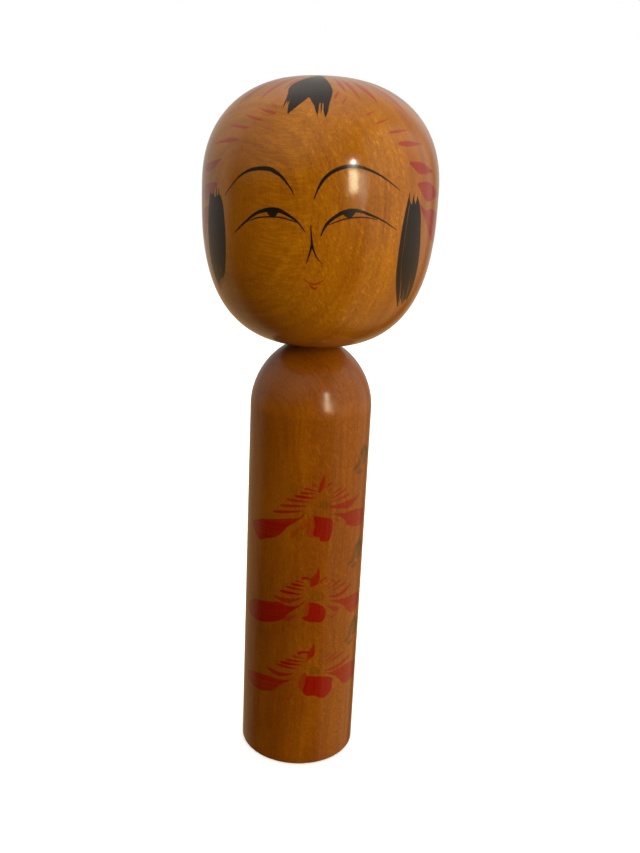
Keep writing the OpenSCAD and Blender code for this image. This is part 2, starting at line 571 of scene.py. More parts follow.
def wood_colour(nodes, tones):
    """Aged amber wood: growth rings, fibres, pores, flecks and a curly figure on the face.

    Returns the colour, the place it is worked out from, and the fibre pattern.
    """
    middle_tone, light_tone, dark_tone = tones
    place = nodes.add("TexCoord", output="Object")
    x, y, z = nodes.add("SeparateXYZ", [place]).node.outputs

    # Broad clouds of lighter and darker patina.
    clouds = nodes.noise(nodes.stretch(place, (1, 1, 0.4)), 45, 3, 0.6)
    colour = nodes.mix("MIX", nodes.remap(clouds, 0.32, 0.68), dark_tone, light_tone)
    colour = nodes.mix("MIX", 0.6, colour, middle_tone)

    # Growth rings round a pith outside the doll, uneven in width and wavering with height.
    waver = nodes.noise(nodes.stretch(place, (1, 1, 0.35)), 60, 1)
    from_pith = nodes.measure("DISTANCE", nodes.stretch(place, (1, 1, 0)), PITH)
    wavering = nodes.math("MULTIPLY_ADD", waver, 0.004, from_pith)
    ring_place = nodes.add("CombineXYZ", [wavering, 0, nodes.math("MULTIPLY", z, 0.03)])
    broad_rings = nodes.remap(nodes.noise(ring_place, 330, 1), 0.3, 0.7, 0.92, 1.07)
    fine_rings = nodes.remap(nodes.noise(ring_place, 1250, 2, 0.6), 0.32, 0.62, 0.9, 1.03)

    # Fine upright fibres and a few darker streaks among them.
    fibre = nodes.noise(nodes.stretch(place, (1, 1, 0.05)), 2300, 2, 0.6)
    fibres = nodes.remap(fibre, 0.3, 0.7, 0.93, 1.06, "LINEAR")
    streak = nodes.noise(nodes.stretch(place, (1, 1, 0.045)), 520, 1)
    dark_streaks = nodes.remap(streak, 0.66, 0.76, 1, 0.87)

    # Short dark pores and fine light speckle.
    pore = nodes.noise(nodes.stretch(place, (1, 1, 0.3)), 2100, 1)
    pores = nodes.remap(pore, 0.62, 0.74, 1, 0.84)
    speck = nodes.noise(nodes.stretch(place, (1, 1, 0.6), (0.3, 0.1, 0.2)), 2600, 1, 0.7)
    specks = nodes.remap(speck, 0.34, 0.7, 0.93, 1.12)

    # The curly figure: arched level ripples on the viewer's left of the face.
    arch = nodes.math("MULTIPLY", nodes.math("POWER", nodes.math("ADD", x, 0.008), 2), -14)
    raised = nodes.add("CombineXYZ", [x, y, nodes.math("ADD", z, arch)])
    ripple = nodes.noise(nodes.stretch(raised, (0.15, 0.15, 1)), 1700, 0, 0.5, 0.5)
    front = nodes.remap(y, -0.02, -0.03)
    rippled = nodes.product(
        nodes.remap(x, -0.022, -0.014),
        nodes.remap(x, -0.004, 0.004, 1, 0),
        front,
        nodes.remap(z, 0.165, 0.18),
    )
    ripples = nodes.math("MULTIPLY_ADD", nodes.remap(ripple, 0.44, 0.6, -0.05, 0.16), rippled, 1)

    # Slanting flecks and bright sparks on the viewer's right of the face and of the body.
    flat = nodes.stretch(place, (1, 0.5, 1), (0, 0, 0.1))
    slant = {"Vector": flat, "Angle": math.radians(28)}
    slanted = nodes.add("VectorRotate", slant, rotation_type="Y_AXIS")
    fleck = nodes.noise(nodes.stretch(slanted, (1, 1, 0.3)), 2300, 1, 0.5, 0.8)
    spark = nodes.noise(nodes.stretch(slanted, (0.8, 1, 0.28)), 1500, 0, 0.5, 0.4)
    body_front = nodes.product(nodes.remap(y, -0.001, -0.01), nodes.remap(z, 0.148, 0.154, 1, 0))
    mottled = nodes.product(
        nodes.remap(x, -0.012, 0.004),
        nodes.math("MAXIMUM", front, body_front),
        nodes.remap(z, 0.16, 0.18, 0.75, 1),
    )
    flecks = nodes.math("MULTIPLY_ADD", nodes.remap(fleck, 0.36, 0.62, -0.09, 0.1), mottled, 1)
    sparks = nodes.math("MULTIPLY_ADD", nodes.remap(spark, 0.6, 0.74, 0, 0.22), mottled, 1)

    # Painted shade: the wood is made darker towards the base, where the light falls off low down. A lighter
    # worn band runs near the shoulder.
    painted_low_shade = nodes.remap(z, 0, 0.11, 0.85, 1)
    worn = nodes.product(
        nodes.remap(z, WORN_LOW - 0.002, WORN_LOW + 0.001),
        nodes.remap(z, WORN_HIGH - 0.001, WORN_HIGH + 0.002, 1, 0),
    )
    band = nodes.math("MULTIPLY_ADD", worn, 0.11, 1)

    shade = nodes.product(
        broad_rings, fine_rings, fibres, dark_streaks, pores, specks, ripples, flecks, sparks, painted_low_shade, band,
    )
    tone = nodes.add("CombineColor", [nodes.math("POWER", shade, power) for power in (0.9, 1.15, 1.4)])
    return nodes.mix("MULTIPLY", 1, colour, tone), place, fibre


# How the old wax shines: coat weight, coat roughness, and the dull shine under it.
HEAD_WAX = (1.0, 0.14, 0.05)
BODY_WAX = (0.75, 0.21, 0.03)
INK_WAX = (0.7, 0.17, 0.02)
WAX_IOR = 1.42


def new_material(name):
    """An empty material with a shader, and the helper for its nodes."""
    material = bpy.data.materials.new(name)
    material.use_nodes = True
    material.node_tree.nodes.clear()
    nodes = Nodes(material.node_tree)
    surface = nodes.add("BsdfPrincipled")
    nodes.tree.links.new(surface, nodes.tree.nodes.new("ShaderNodeOutputMaterial").inputs["Surface"])
    return material, nodes, surface.node


def wood_material(name, tones, wax, dye=None):
    """The waxed wood of a turned piece, or the same wood under a dye or ink.

    A dye is what full dye lets through of the wood's colour, then its own colour, and how
    much of the wood that colour hides.
    """
    material, nodes, shader = new_material(name)
    colour, place, fibre = wood_colour(nodes, tones)
    if dye:
        let_through, own_colour, opacity = dye
        load = nodes.add("Attribute", output="Fac", attribute_name="load")
        amount = nodes.math("MINIMUM", load, 1)
        colour = nodes.mix("MULTIPLY", amount, colour, let_through)
        colour = nodes.mix("MIX", nodes.math("MULTIPLY", amount, opacity), colour, own_colour)
    coat, coat_roughness, dull_shine = wax
    wear = nodes.noise(place, 90, 3)
    relief = nodes.math("MULTIPLY_ADD", wear, 2, fibre)
    uneven = nodes.add("Bump", {"Strength": 0.08, "Distance": 0.0002, "Height": relief})
    nodes.feed(shader, {
        "Base Color": colour,
        "Coat Weight": coat,
        "Coat Roughness": coat_roughness,
        "Coat IOR": WAX_IOR,
        "Specular IOR Level": dull_shine,
        "Roughness": nodes.remap(wear, 0.3, 0.7, 0.42, 0.56),
        "Normal": uneven,
        "Coat Normal": uneven,
    })
    return material


def bare_wood_material():
    """Plain turned wood for the hidden peg."""
    material, nodes, shader = new_material("bare_wood")
    place = nodes.add("TexCoord", output="Object")
    fibre = nodes.noise(nodes.stretch(place, (1, 1, 0.05)), 1400, 3)
    light = nodes.remap(fibre, 0.3, 0.7)
    colour = nodes.mix("MIX", light, (0.46, 0.27, 0.11, 1), (0.66, 0.45, 0.24, 1))
    nodes.feed(shader, {"Base Color": colour, "Roughness": nodes.remap(fibre, 0.3, 0.7, 0.5, 0.7)})
    return material


INK_DYE = ((0.05, 0.05, 0.08, 1), (0.01, 0.0095, 0.0085, 1), 0.9)
RED_DYE = ((0.9, 0.05, 0.3, 1), (0.25, 0.002, 0.0005, 1), 0.35)
GREEN_DYE = ((0.42, 0.62, 1, 1), (0, 0, 0, 1), 0)

HEAD_WOOD = wood_material("head_wood", HEAD_TONES, HEAD_WAX)
BODY_WOOD = wood_material("body_wood", BODY_TONES, BODY_WAX)
BARE_WOOD = bare_wood_material()

# The kinds of paint: the material, the body that it rides on, and its slot.
INK = (wood_material("black_ink", HEAD_TONES, INK_WAX, INK_DYE), "head", "ink_black")
HEAD_RED = (wood_material("head_red_dye", HEAD_TONES, HEAD_WAX, RED_DYE), "head", "dye_red")
BODY_RED = (wood_material("body_red_dye", BODY_TONES, BODY_WAX, RED_DYE), "body", "dye_red")
GREEN = (wood_material("green_dye", BODY_TONES, BODY_WAX, GREEN_DYE), "body", "dye_green")

# ---- the wooden pieces

head_wood = make_head()
head_wood.data.materials.append(HEAD_WOOD)
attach(head_wood, "head")
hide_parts("head")

body_wood = make_body()
body_wood.data.materials.append(BODY_WOOD)
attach(body_wood, "body")
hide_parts("body")

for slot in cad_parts["neck_peg"].material_slots:
    slot.material = BARE_WOOD

# ---- the painted face

# The brows.
layer = Layer(FACE, 0.1)
layer.line([
    (-44.2, 60.6, 0.1), (-40.1, 57.8, 0.25), (-35, 54.7, 0.45), (-29.9, 52.8, 0.8), (-24.8, 52, 1.1),
    (-19.7, 51.9, 1.2), (-16.6, 52.6, 1.1), (-13.5, 53.8, 0.75), (-10.5, 55.8, 0.5), (-8.4, 57.6, 0.3),
    (-7.6, 58.7, 0.1),
], 1.1)
layer.line([
    (1.4, 59.6, 0.22), (3, 56.7, 0.55), (4.9, 54.3, 0.85), (8, 52.2, 0.95), (12.2, 50.7, 1.05),
    (16.3, 50, 1), (20.5, 50, 0.9), (25.7, 50.9, 0.7), (30.9, 52.3, 0.5), (36.1, 54.2, 0.32),
    (40.3, 55.9, 0.2), (42.4, 56.9, 0.08),
], 1.1)
paint("paint_brows", layer, INK)

# The eyes: an upper lid, a lower lid and a pupil each.
layer = Layer(FACE, 0.1)
layer.line([
    (-37.5, 71.4, 0.2), (-34, 69.4, 0.45), (-29.9, 67.2, 0.6), (-25.9, 65.2, 0.8), (-21.8, 64, 1.05),
    (-17.7, 63.4, 1.2), (-14.1, 63.5, 1.2), (-10.5, 64.4, 0.9), (-7, 65.7, 0.6), (-4.4, 67.1, 0.4),
    (-2.4, 68.8, 0.25), (-1.8, 69.3, 0.1),
], 1.1)
layer.line([
    (-29.9, 67.7, 0.1), (-25.9, 66.5, 0.3), (-21.8, 65.8, 0.38), (-16.7, 65.5, 0.4), (-11.6, 65.6, 0.4),
    (-8, 66.2, 0.3), (-5.4, 66.6, 0.12),
], 0.9)
layer.fill([
    (-19.6, 63.4), (-19.2, 64.7), (-17.9, 65.4), (-16.1, 65.5), (-14.8, 64.6), (-14.2, 63.4),
], 0.9, soft=0.3, dry=0)
layer.line([
    (5.1, 70, 0.3), (6.3, 68, 0.55), (7.9, 66.3, 0.85), (10.5, 64.7, 0.9), (14.1, 63.2, 1.1),
    (18.2, 62.5, 1.15), (22.4, 62.7, 0.85), (26.5, 63.6, 0.7), (30.7, 64.6, 0.5), (34.8, 65.8, 0.35),
    (39, 67.3, 0.22), (41.6, 68.2, 0.08),
], 1.1)
layer.line([
    (8.2, 66.9, 0.1), (10.5, 66.2, 0.26), (13, 65.5, 0.34), (16.6, 64.8, 0.4), (22, 64.4, 0.36),
    (26.9, 64.6, 0.28), (30.8, 65.1, 0.08),
], 0.85)
layer.fill([
    (14.3, 62.8), (14.9, 63.9), (16.3, 64.5), (18.2, 64.4), (19.2, 63.7), (19.7, 62.6),
], 0.9, soft=0.3, dry=0)
paint("paint_eyes", layer, INK)

# The nose: its ridge and the two wings.
layer = Layer(FACE, 0.09)
layer.line([(0.5, 67.2, 0.25), (0.8, 69.6, 0.4), (1.2, 72, 0.6), (1.4, 73.5, 0.8)])
layer.line([(1.2, 73, 0.65), (0.5, 75.2, 0.5), (-0.4, 77.4, 0.3), (-1, 78.5, 0.1)], 0.9)
layer.line([
    (1.4, 73, 0.65), (2.4, 74.8, 0.48), (3.5, 76.4, 0.36), (4.9, 77.5, 0.22), (6.5, 78.4, 0.08),
], 0.9)
paint("paint_nose", layer, INK)

# The mouth: two lips.
layer = Layer(FACE, 0.09)
layer.line([
    (-2, 83.5, 0.2), (-0.6, 84, 0.45), (1.1, 84.6, 0.5), (2.9, 84.9, 0.55), (4.6, 84.6, 0.55),
    (6.1, 84, 0.45), (7.5, 83.4, 0.15),
], 0.62, soft=0.4)
layer.line([
    (0.9, 85.3, 0.25), (2, 85.9, 0.55), (3.2, 86.4, 0.75), (4, 86.1, 0.55), (4.5, 85.7, 0.25),
], 0.68, soft=0.4)
paint("paint_mouth", layer, HEAD_RED)

# ---- the painted hair

# The forelock.
layer = Layer(CROWN, 0.14)
layer.fill([
    (-7.8, 8.9), (-15.3, 11.1), (-19.7, 13.9), (-23.2, 17.8), (-24.7, 20.8), (-23.9, 23.7), (-21.6, 26.1),
    (-20.4, 28.4), (-18, 29.8), (-16.7, 32.2), (-15.6, 34.8), (-14.3, 34), (-12, 32.2), (-8.8, 29.8),
    (-6, 27.8), (-4.2, 29), (-2.3, 30.7), (-0.1, 32.9), (0.8, 34.3), (1.1, 32.3), (1.5, 30.1), (3.6, 30.3),
    (3.9, 32.9), (4.8, 34.8), (5.6, 34.5), (6.4, 32.7), (7.2, 29.9), (8.7, 26.9), (9.7, 23.9), (9.4, 21.4),
    (7.6, 18), (4.5, 14.1), (-0.2, 10.6),
], soft=0.35, dry=0.12, seed=5, lay=96)
layer.bristles([
    ((-19.8, 28.8), (-19.5, 32.6), 0.6), ((-18.6, 29.2), (-17.9, 31.4), 0.5),
    ((2.4, 29.5), (2.6, 33.9), 0.55), ((-0.7, 31.9), (0.9, 35.2), 0.6), ((4.6, 32.9), (5, 35.3), 0.8),
])
layer.bristles([((-18.2, 32), (-17.1, 28.8), 0.4), ((1.4, 33.9), (1.5, 29.5), 0.35)], -0.5)
paint("paint_forelock", layer, INK)

# The hair at the viewer's left.
layer = Layer(FACE, 0.14)
layer.fill([
    (-58.1, 60.9), (-59.5, 64.1), (-60.8, 69.2), (-61.7, 75.3), (-62.4, 81.3), (-61.8, 86.2), (-59.9, 89.6),
    (-58.2, 88.9), (-56.3, 88.5), (-54, 87.3), (-51.1, 86.4), (-48.3, 84.8), (-46.1, 81.4), (-44.6, 76.8),
    (-44.2, 71.4), (-45, 66.3), (-46.4, 62.6), (-48.9, 60.7), (-52.4, 61.7),
], 0.95, soft=0.45, dry=0.12, seed=9, lay=92)
layer.bristles([
    ((-57.5, 62.1), (-57.9, 59.3), 0.7), ((-54.6, 62.1), (-54.6, 59.1), 0.9),
    ((-51.5, 62.6), (-51.6, 58.5), 0.6), ((-49.3, 62.2), (-49.5, 59.1), 0.8),
    ((-60.1, 86.3), (-59.9, 91.8), 1), ((-57.9, 86.3), (-58.2, 91.2), 0.9),
    ((-55.6, 86.3), (-56.1, 90.7), 0.8), ((-52.6, 85.4), (-53.8, 89.3), 0.7),
    ((-49.3, 84), (-50.9, 87.8), 0.6),
])
layer.bristles([((-53, 88), (-51.6, 82.4), 0.5), ((-56.9, 89.9), (-56.3, 84.3), 0.4)], -0.6)
paint("paint_sidelock_left", layer, INK)

# The hair at the viewer's right.
layer = Layer(FACE, 0.14)
layer.fill([
    (47.9, 58.8), (46.6, 61.5), (45.3, 65.8), (44.5, 70.9), (44.4, 75.9), (45, 81), (47, 85.6),
    (49.6, 89.1), (52.2, 91.7), (55, 93.7), (55, 92.3), (54.4, 90.5), (56.1, 91.5), (58.9, 93.4),
    (59.4, 92.2), (59.9, 91.2), (61.6, 92), (62.8, 89.2), (62.7, 85.2), (61.8, 79.1), (60.5, 74),
    (59, 68.9), (57.8, 63.8), (55.8, 60.3), (54.1, 59.1), (52.9, 60.7), (51.3, 59.3), (49.9, 60.9),
], soft=0.35, dry=0.12, seed=12, lay=86)
layer.bristles([
    ((50.9, 61.7), (51.4, 57.6), 1), ((54, 61.7), (54.1, 58.4), 1.1), ((48, 60.7), (48.1, 57.4), 0.7),
])
layer.bristles([
    ((54.6, 92.7), (48.6, 82), 0.55), ((58.9, 93.2), (53.6, 87.1), 0.5), ((61, 92.2), (57.2, 83.7), 0.4),
], -0.75)
layer.line([
    (48.8, 60.1, 0.5), (47.8, 65.8, 0.3), (47.3, 71.9, 0.28), (47.4, 78, 0.22), (48.6, 82.4, 0.3),
], -0.45, soft=0.3)
paint("paint_sidelock_right", layer, INK)

# Red rays spread from the crown. Each row is where a ray of the front half first shows, a
# middle place, where it ends, and its greatest width.
FRONT_RAYS = [
    ((16.7, 13), (18, 19), (19.6, 24.4), 1.4), ((24.4, 14), (26.2, 21), (28, 27.4), 1.7),
    ((34.4, 13), (38, 22.1), (40, 28.8), 2.3), ((49, 14), (57.4, 24.9), (60.4, 33.2), 2.4),
    ((71, 14), (75, 25), (78, 34), 2.6), ((-24.8, 13), (-26.4, 18.6), (-27.4, 24), 1.6),
    ((-36, 13), (-38.4, 21), (-39.8, 30), 2.2), ((-54.6, 13), (-56.6, 23), (-57.6, 32.8), 2.4),
    ((-71, 13), (-75, 24), (-77, 33.4), 2.6),
]
# The back half of the crown: how many rays, and the angles of the first and the last.
BACK_RAYS = 13
BACK_FIRST = 92
BACK_LAST = 268

# The rays.
layer = Layer(CROWN, 0.2)
for k, (start, middle, end, width) in enumerate(FRONT_RAYS):
    layer.ray(start, middle, end, width, 20 + k)
for k in range(BACK_RAYS):
    angle = BACK_FIRST + (BACK_LAST - BACK_FIRST) * k / (BACK_RAYS - 1)
    leaning = angle + 2.5 * math.sin(1.7 * k)
    reach = 32 + 1.6 * math.sin(2.1 * k)
    layer.ray((angle, 13), (leaning, 0.68 * reach), (leaning, reach), 2.6, 40 + k)
paint("paint_crown_rays", layer, HEAD_RED)

# The red dashes that fan out from the forelock down to the side hair.
layer = Layer(FACE, 0.16)
for dash in [
    ((14.8, 23.2), (10, 28.1), 1.3, 0.65), ((19.2, 26.4), (14.9, 30.1), 0.8, 0.55),
    ((23.2, 29.6), (19.5, 31.4), 0.6, 0.3), ((35.7, 31.8), (27.4, 34.1), 0.6, 0.5),
    ((42, 34.9), (31.9, 36.9), 0.65, 0.6), ((53.3, 38.5), (38.4, 39.7), 0.95, 0.7),
    ((61.8, 42.9), (42.8, 43), 1.7, 0.8),
]:
    layer.leaf(*dash)
layer.fill([
    (48.3, 48.5), (53.6, 48.3), (59.2, 48.7), (64, 50), (69.5, 51.4), (62.7, 51.9), (58, 52.1), (54, 51.6),
    (51.3, 50.2),
], 0.92, seed=3, lay=8)
layer.fill([
    (53.9, 54.8), (60.2, 54.3), (65, 54.6), (70.1, 56), (78.4, 58.8), (72.6, 59.6), (67.2, 60.3),
    (62.3, 60), (60, 59.2), (56.6, 56.9),
], 0.92, seed=4, lay=12)
layer.fill([
    (56.5, 60.9), (62.2, 62.8), (67.1, 62.6), (72.4, 63.1), (79.1, 64.7), (86.6, 67.9), (88.4, 72),
    (86, 74.1), (78, 73.5), (71.8, 71.9), (67.9, 70), (64.4, 66.9), (59.8, 64.2),
], 0.92, seed=6, lay=25)
for dash in [
    ((-28.8, 31.1), (-23.3, 32.2), 0.7, 0.5), ((-34.7, 33.3), (-22.2, 34.8), 1.1, 0.7, -0.2),
    ((-43.6, 35.7), (-28.5, 37.6), 0.9, 0.65), ((-52, 39.7), (-34.9, 40.2), 0.95, 0.65),
    ((-59.5, 46), (-39.8, 44), 1.4, 0.75, 0.3),
]:
    layer.leaf(*dash)
layer.fill([
    (-49, 50.2), (-53.6, 50.6), (-58.8, 51.3), (-64.1, 52.2), (-68.4, 53.3), (-63.9, 54.6), (-58.7, 54),
    (-53.6, 52.4),
], 0.8, seed=7, lay=-8)
layer.fill([
    (-50.8, 57.7), (-56.5, 57.5), (-62.7, 58.3), (-69, 59.8), (-74.1, 61.7), (-68.9, 63.4), (-62.6, 63.1),
    (-56.5, 60.7),
], 0.85, seed=8, lay=-12)
layer.fill([
    (-60.1, 65.2), (-64.7, 65.5), (-69.8, 67.1), (-75, 70.1), (-78, 74.1), (-74.6, 75.7), (-70, 75.4),
    (-65.3, 72.6), (-62, 69.2),
], 0.85, seed=10, lay=-25)
paint("paint_hairline", layer, HEAD_RED)

# ---- the painted flowers and leaves

# The top flower.
layer = Layer(FRONT, 0.16)
layer.fill([
    (3.4, 100), (-1, 98.1), (-6, 97.3), (-12, 97), (-24, 96), (-34, 95), (-42, 94.2), (-50, 92.8),
    (-57, 91.6), (-58, 89.6), (-52, 87.6), (-44.5, 86), (-36, 87.6), (-28.6, 88.6), (-20.3, 90.5),
    (-12.8, 94), (-5.5, 96), (0.5, 98),
], dry=0.24, seed=31, lay=8)
layer.fill([
    (30.7, 98.8), (37, 98.7), (44, 98.5), (51, 98.5), (58.5, 98.3), (68, 97.6), (77, 96.2), (80.5, 94),
    (76.6, 91.9), (72.5, 91.1), (65, 91.4), (58, 92), (51.5, 92.8), (46.5, 93.6), (44.6, 95.3), (41, 96.4),
    (37.6, 97.2),
], 0.9, dry=0.34, seed=32, lay=-8)
layer.fill([
    (11.6, 98.3), (12.7, 95.6), (12.2, 93.8), (11.4, 92.2), (12.3, 91.1), (17.2, 90.6), (17.9, 89.4),
    (22, 89), (26.9, 89.1), (29.2, 91.6), (30.3, 94.6), (28.7, 96.9), (21.3, 97.9), (16, 98.2),
], soft=0.3, dry=0.24, seed=33, lay=84)
layer.fill([
    (10.4, 99.2), (7.4, 97.8), (5.8, 96.3), (4.8, 93.4), (5.6, 91.6), (8, 90.8), (11.1, 90.9), (12.4, 93),
    (13.2, 95.4), (12, 98),
], 0.5, soft=0.5, dry=0.4, seed=34, lay=84)
layer.fill([
    (13.8, 107.2), (15.9, 107), (18.4, 108.1), (20.4, 109.9), (20.2, 111.6), (19.8, 113.3), (18.8, 112.9),
    (17.4, 111.9), (15.6, 110.4), (14.6, 108.8),
], 0.8, soft=0.3, seed=35, lay=70)
layer.dabs([
    ((13.3, 107.6), (1.4, 108.4), 0.7, 0.7), ((12.3, 106.6), (-1.7, 106.8), 0.8, 0.85),
    ((11.5, 105), (-6.8, 105.5), 1, 0.95), ((8.1, 103.6), (-14.9, 103.9), 0.9, 0.7),
    ((5.7, 102.3), (-20.2, 101.3), 1.1, 0.75), ((2.3, 100.4), (-28.3, 98.4), 1.1, 0.75),
], 0.5, 60)
layer.dabs([
    ((14, 108.6), (8.5, 110.2), 0.5, 0.6), ((-1.7, 94.1), (-8.9, 90.3), 1.6, 0.3),
    ((4.7, 97.4), (-0.3, 93.5), 2, 0.24), ((19.9, 108.5), (27.8, 110.6), 0.7, 0.6),
    ((23.8, 107.6), (31.3, 109.7), 0.6, 0.4), ((26.9, 105.5), (39.4, 108.6), 0.8, 0.5),
    ((27.6, 104.5), (43.6, 107.3), 0.9, 0.6), ((27.7, 103.2), (48.3, 105.1), 0.9, 0.65),
    ((29.8, 97), (36.7, 96), 1, 0.3),
], 0.2, 70)
layer.fill([
    (25.7, 101.8), (36.7, 102.3), (50.3, 102.9), (57, 103.2), (63.6, 103.6), (59.5, 102.1), (54, 100.8),
    (49.5, 100), (45, 99.7), (37, 100.4), (30, 100.9),
], 0.8, soft=0.35, seed=36, lay=4)
paint("paint_flower_top", layer, BODY_RED)

# The middle flower.
layer = Layer(FRONT, 0.16)
layer.fill([
    (7.9, 67.1), (4, 65.9), (1.3, 65), (-4.8, 64.4), (-10.4, 64.2), (-15.5, 64.8), (-21, 65), (-27, 64.3),
    (-37, 63.5), (-47, 62.6), (-58, 60.6), (-64, 58), (-61.5, 55.6), (-55, 54.7), (-47.5, 54.7), (-39, 55),
    (-28, 56.3), (-20, 57.5), (-13, 59.2), (-8.7, 61.3), (-3.5, 63), (3, 65),
], dry=0.2, seed=41, lay=8)
layer.fill([
    (31.1, 66.1), (37, 65.8), (45, 65.5), (53, 65.3), (64.4, 65.1), (72, 64.6), (79, 63.6), (82, 61),
    (77, 58.4), (68.5, 57.8), (62, 58), (57.6, 58.7), (53, 60.4), (48.5, 62.4), (43.5, 63.8), (37, 65),
], 0.9, dry=0.34, seed=42, lay=-8)
layer.fill([
    (11.8, 66), (10.9, 64.6), (10.4, 63.1), (9.6, 61.6), (7.4, 60.7), (3.8, 60.4), (6.7, 59.2),
    (10.2, 58.6), (15.7, 58.4), (21.5, 58.1), (25, 58.6), (27.3, 60.4), (27.5, 62.2), (25.3, 63.9),
    (21.3, 65), (17, 65.7),
], soft=0.3, dry=0.2, seed=43, lay=84)
layer.fill([
    (11, 66.8), (8.2, 65.8), (6, 64.3), (4.9, 62.6), (6.6, 61.4), (9.6, 62), (10.6, 64), (11.6, 66),
], 0.45, soft=0.5, dry=0.4, seed=44, lay=84)
layer.fill([
    (8.3, 70), (10.2, 71.6), (12.4, 72.2), (15, 72.4), (18.3, 73), (19.6, 74.6), (19.6, 76.4), (19.2, 77.8),
    (18, 79.3), (16.8, 78.4), (15.3, 77.2), (12.9, 76), (11, 74.8), (10.7, 73),
], 0.85, soft=0.3, dry=0.25, seed=45, lay=70)
layer.line([(10.9, 74.9, 0.6), (7, 75.4, 0.9), (3.6, 75.3, 1.2)], 0.95, soft=0.3, dry=0.15, seed=46)
layer.line([
    (3.7, 68, 0.3), (-1, 67.2, 0.8), (-6.4, 66.5, 1.4), (-11, 66.2, 1.8), (-15, 66.2, 1.7),
    (-20, 66.6, 1.2), (-24.5, 67, 0.5),
], 0.8, soft=0.35, dry=0.25, seed=47)
layer.dabs([
    ((7.1, 73.4), (-3.1, 74.2), 0.7, 0.65), ((6.8, 72.3), (-7.2, 72.8), 1, 0.95),
    ((5.4, 70.9), (-12.2, 71.5), 1, 0.9), ((3.6, 69.1), (-18, 69.5), 1.2, 0.9),
], 0.45, 80)
layer.dabs([
    ((-1, 61.2), (-12, 58.6), 1.8, 0.4), ((24.5, 73.2), (28.7, 74.7), 0.6, 0.4),
    ((25.4, 71.6), (35, 74), 0.6, 0.45), ((26.3, 70.5), (43.5, 73.3), 0.8, 0.55),
    ((30.9, 69.6), (50.6, 71.7), 0.9, 0.5),
], 0.2, 85)
layer.line([(20.2, 73.6, 0.4), (22.6, 74.6, 0.6), (26.8, 75.3, 0.5)], 0.7, soft=0.3)
layer.line([
    (31, 67.8, 0.4), (36, 67.4, 0.9), (41, 67.4, 1.4), (47.4, 68.1, 1.4), (53, 69.1, 1), (57.7, 69.9, 0.3),
], 0.8, soft=0.35, dry=0.25, seed=48)
layer.fill([
    (26, 64.8), (32.6, 63.9), (43, 62.7), (41.2, 61.6), (37.8, 61.2), (31.9, 62.9),
], 0.6, soft=0.35, seed=50, lay=-20, rounded=False)
layer.line([
    (42, 62, 0.5), (39.6, 60.7, 0.6), (36.5, 59.6, 0.7), (33.2, 59.6, 0.7), (30.3, 60.6, 0.4),
], 0.42, soft=0.4)
paint("paint_flower_middle", layer, BODY_RED)

# The bottom flower.
layer = Layer(FRONT, 0.16)
layer.fill([
    (-6, 34.6), (-12.5, 34.7), (-18.5, 34.6), (-26.6, 34.7), (-36.5, 34.3), (-45, 33.6), (-56, 32.4),
    (-62, 30.4), (-60.5, 28.4), (-52, 27.5), (-43, 27.3), (-36, 27.5), (-26, 28.7), (-20, 30.3), (-16, 32),
    (-11, 33.4),
], 0.9, soft=0.5, seed=51, lay=8)
layer.line([(2.6, 38, 0.3), (-0.6, 36.6, 0.7), (-4, 35.3, 0.9), (-8, 34.6, 1)], 0.3, soft=0.6)
layer.fill([
    (28.8, 37.5), (36, 37.1), (44, 37.4), (54, 37.7), (64.5, 37.4), (74, 36.4), (80, 34.4), (80, 31.4),
    (73, 29.6), (61, 29.6), (53.5, 30.4), (48.8, 32.3), (43.5, 34.6), (36.2, 36.3),
], 0.95, dry=0.34, seed=52, lay=-8)
layer.fill([
    (11.2, 36.9), (17.8, 36.8), (25.2, 36.3), (33.1, 35.6), (38.9, 34.4), (38.6, 32), (38.9, 30.1),
    (36.6, 28.8), (33.6, 27.8), (29.5, 27.2), (24, 27.8), (18.8, 28.8), (12.3, 28.8), (9.4, 29.8),
    (8, 31.1), (9.4, 33), (10.3, 35),
], soft=0.3, dry=0.14, seed=53, lay=84)
layer.fill([
    (10.8, 38.3), (7, 37.6), (4.4, 36.1), (2.6, 34.2), (3.2, 32.1), (7.6, 31.1), (9.2, 33), (10.6, 36),
], 0.5, soft=0.5, dry=0.4, seed=54, lay=84)
layer.fill([
    (9.5, 42.2), (12.4, 43.3), (14.1, 44.2), (16.8, 44.7), (18.3, 45.9), (18.3, 47.6), (17.6, 49),
    (16.7, 50.4), (15.8, 49.2), (14.2, 48), (11.8, 46.8), (11.1, 45.3), (10.8, 43.7),
], 0.8, soft=0.35, dry=0.25, seed=55, lay=70)
layer.line([
    (12.1, 46.4, 0.8), (8.2, 46.6, 0.9), (5, 46.5, 1.1), (2.9, 46.1, 1.3),
], 0.9, soft=0.3, dry=0.15, seed=57)
layer.line([
    (-1, 38, 0.4), (-6, 37.3, 0.8), (-11.2, 36.9, 1.4), (-17, 36.7, 1.7), (-23.5, 37.2, 1.4),
    (-30, 38, 0.5),
], 0.85, soft=0.35, dry=0.25, seed=58)
layer.dabs([((9.5, 44.1), (-3.8, 44.8), 1, 0.55), ((8.6, 42.8), (-9.2, 43), 1, 0.8)], 0.5, 100)
layer.dabs([
    ((6, 41.4), (-15.8, 41.7), 1.2, 0.95), ((3, 39.8), (-19.5, 40.4), 1.1, 0.8),
    ((28.7, 43.6), (35.6, 45.3), 0.7, 0.3), ((26, 41.5), (44.5, 44.8), 0.8, 0.45),
    ((28.3, 41), (53.9, 43.6), 1, 0.5),
], 0.2, 104)
layer.line([
    (29.5, 38.2, 0.3), (36, 38.4, 0.9), (43.8, 38.6, 1.4), (52.6, 39.4, 1.7), (60, 40, 1.4),
    (66, 40.4, 0.5),
], 0.8, soft=0.35, dry=0.3, seed=59)
